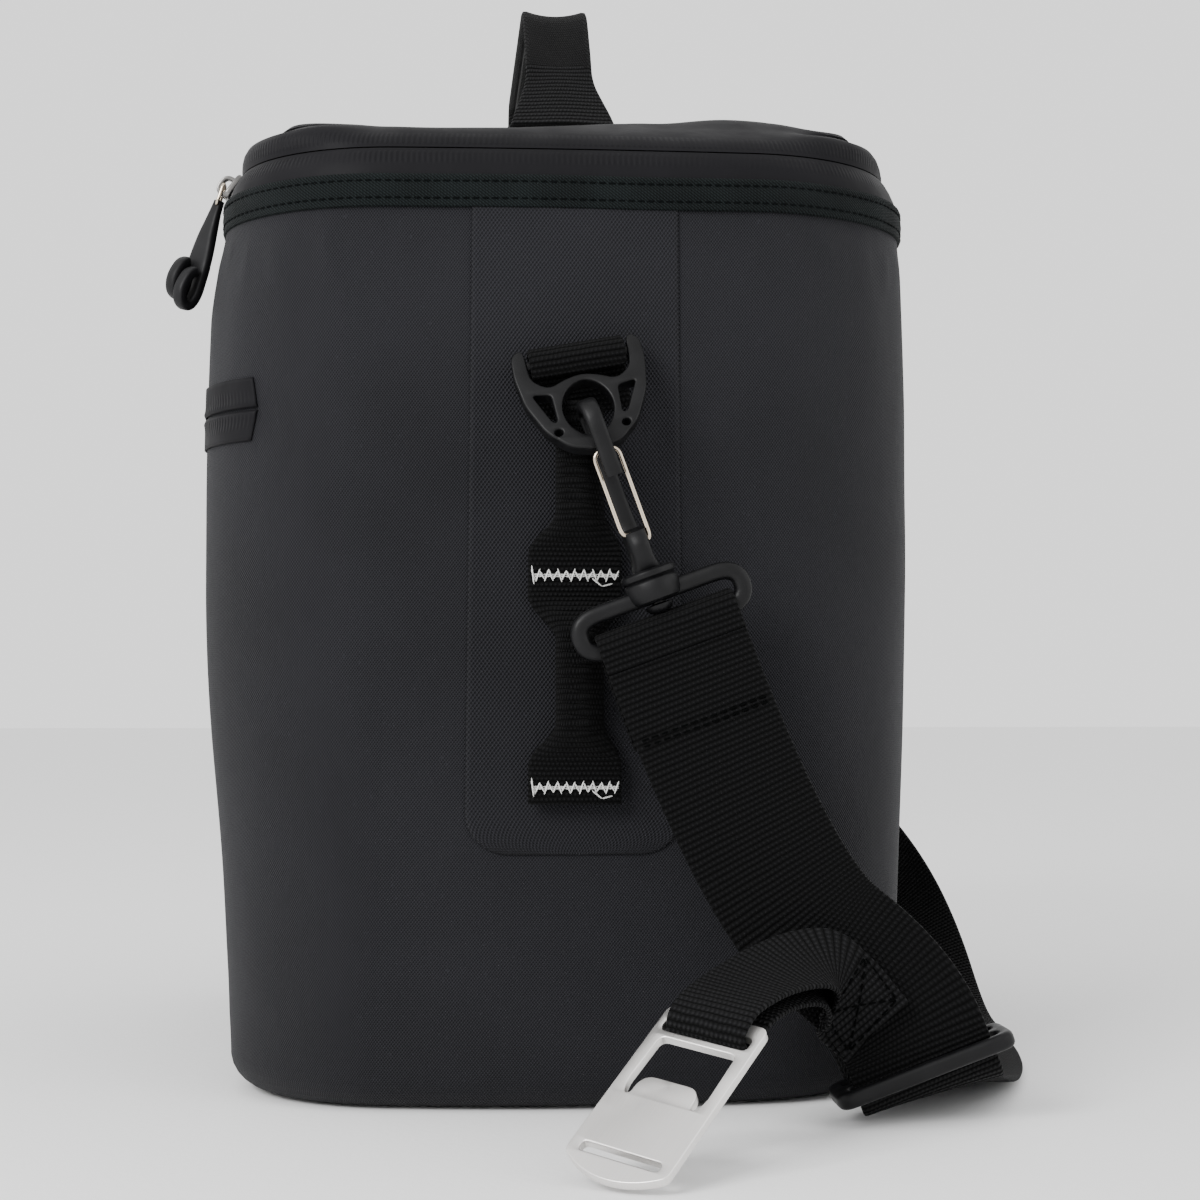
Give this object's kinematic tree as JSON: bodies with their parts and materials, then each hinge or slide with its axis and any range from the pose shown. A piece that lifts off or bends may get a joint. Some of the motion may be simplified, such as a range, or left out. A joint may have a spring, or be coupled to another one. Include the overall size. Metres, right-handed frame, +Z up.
{
  "type": "soft-sided zip-top storage bag",
  "caption": "Soft-sided upright bag with a zipped film lid, carry handle, end D-rings, webbing loops and a clip-on shoulder strap that carries a bottle opener.",
  "frame": {"origin": "centre of the bag's base on the floor", "axes": "+Z up, long side along Y, front with the pocket faces -X, lid hinges at +X"},
  "size_m": [0.2631, 0.4143, 0.317],
  "materials": {
    "shell_fabric": "matte coated plain weave",
    "patch_fabric": "matte coarse weave",
    "foam": "closed-cell foam",
    "liner_film": "smooth welded film",
    "zip_film": "satin film over zip coil",
    "binding_tape": "grosgrain",
    "webbing": "ribbed webbing",
    "grip_webbing": "folded twill webbing",
    "white_thread": "zigzag thread",
    "nickel_wire": "polished",
    "nickel_slider": "satin",
    "rubber_pull": "moulded",
    "moulded_plastic": "moulded, light grain",
    "stainless_steel": "brushed"
  },
  "bodies": {
    "bag": {"far_bar_tacks": "white_thread", "far_daisy_webbing": "webbing", "far_dring_loop": "webbing", "far_patch": "patch_fabric", "far_strap_fold": "webbing", "far_swivel_eye": "moulded_plastic", "foam_back": "foam", "foam_base": "foam", "foam_far_end": "foam", "foam_front": "foam", "foam_near_end": "foam", "inner_liner": "liner_film", "near_bar_tacks": "white_thread", "near_daisy_webbing": "webbing", "near_dring_loop": "webbing", "near_patch": "patch_fabric", "near_strap_fold": "webbing", "near_swivel_eye": "moulded_plastic", "outer_back": "shell_fabric", "outer_base": "shell_fabric", "outer_far_end": "shell_fabric", "outer_front": "shell_fabric", "outer_near_end": "shell_fabric", "pocket_zip": "zip_film", "rim_tape": "binding_tape", "strap_far_drop": "webbing", "strap_floor_run": "webbing", "strap_near_drop": "webbing", "strap_tab": "webbing", "zip_end_stops": "moulded_plastic", "zip_lower_band": "zip_film"},
    "lid": {"zip_upper_band": "zip_film", "lid_skin": "zip_film", "lid_foam": "foam", "lid_liner": "liner_film", "handle_anchors": "webbing", "handle_feet": "webbing"},
    "handle": {"handle_webbing": "webbing", "handle_grip": "grip_webbing"},
    "main_slider": {"main_zip_slider": "nickel_slider"},
    "main_pull": {"main_zip_pull": "rubber_pull"},
    "pocket_slider_body": {"pocket_slider": "nickel_slider"},
    "pocket_pull_body": {"pocket_pull": "rubber_pull"},
    "near_dring_body": {"near_dring": "moulded_plastic"},
    "far_dring_body": {"far_dring": "moulded_plastic"},
    "near_hook": {"near_snap_hook": "moulded_plastic", "near_swivel_rivet": "moulded_plastic"},
    "far_hook": {"far_snap_hook": "moulded_plastic", "far_swivel_rivet": "moulded_plastic"},
    "near_gate": {"near_hook_gate": "nickel_wire"},
    "far_gate": {"far_hook_gate": "nickel_wire"},
    "strap_slider": {"tri_glide": "moulded_plastic", "strap_end_loop": "webbing"},
    "opener": {"bottle_opener": "stainless_steel"}
  },
  "joints": [
    {"name": "lid_hinge", "type": "hinge", "parent": "bag", "child": "lid", "pos_m": [0.0942, 0, 0.2575], "axis": [0, 1, 0], "range_deg": [0, 110]},
    {"name": "handle_tilt", "type": "hinge", "parent": "lid", "child": "handle", "pos_m": [0, 0, 0.287], "axis": [0, 1, 0], "range_deg": [-40, 40], "stiffness_Nm_per_rad": 0.05},
    {"name": "main_zip", "type": "slide", "parent": "bag", "child": "main_slider", "axis": [0, 1, 0], "range_m": [0, 0.15]},
    {"name": "main_pull_swing", "type": "hinge", "parent": "main_slider", "child": "main_pull", "pos_m": [-0.09906, -0.081, 0.25973], "axis": [0, 1, 0], "range_deg": [0, 110]},
    {"name": "pocket_zip_slide", "type": "slide", "parent": "bag", "child": "pocket_slider_body", "axis": [0, 1, 0], "range_m": [-0.09, 0.03]},
    {"name": "pocket_pull_swing", "type": "hinge", "parent": "pocket_slider_body", "child": "pocket_pull_body", "pos_m": [-0.1016, 0.045, 0.188], "axis": [0, 1, 0], "range_deg": [0, 110]},
    {"name": "near_dring_swing", "type": "hinge", "parent": "bag", "child": "near_dring_body", "pos_m": [0, -0.1515, 0.199], "axis": [0.9848, 0, 0.1736], "range_deg": [-4, 2]},
    {"name": "far_dring_swing", "type": "hinge", "parent": "bag", "child": "far_dring_body", "pos_m": [0, 0.1515, 0.199], "axis": [0.9848, 0, 0.1736], "range_deg": [-2, 4]},
    {"name": "near_hook_swivel", "type": "hinge", "parent": "bag", "child": "near_hook", "pos_m": [0.0186, -0.162, 0.1396], "axis": [-0.342, 0, 0.9397], "range_deg": [-8, 8]},
    {"name": "far_hook_swivel", "type": "hinge", "parent": "bag", "child": "far_hook", "pos_m": [0.0186, 0.162, 0.1396], "axis": [-0.342, 0, 0.9397], "range_deg": [-8, 8]},
    {"name": "near_gate_press", "type": "hinge", "parent": "near_hook", "child": "near_gate", "pos_m": [0.0147, -0.1684, 0.15031], "axis": [-0.9397, 0, -0.342], "range_deg": [0, 20], "stiffness_Nm_per_rad": 0.02, "springref_deg": -17.19},
    {"name": "far_gate_press", "type": "hinge", "parent": "far_hook", "child": "far_gate", "pos_m": [0.0147, 0.1684, 0.15031], "axis": [0.9397, 0, 0.342], "range_deg": [0, 20], "stiffness_Nm_per_rad": 0.02, "springref_deg": -17.19},
    {"name": "strap_slider_slide", "type": "slide", "parent": "bag", "child": "strap_slider", "axis": [-0.342, 0, 0.9397], "range_m": [0, 0.01]},
    {"name": "opener_swing", "type": "hinge", "parent": "bag", "child": "opener", "pos_m": [0.0294, -0.208, 0.0318], "axis": [-0.7694, 0.6255, 0.1296], "range_deg": [0, 50]}
  ]
}
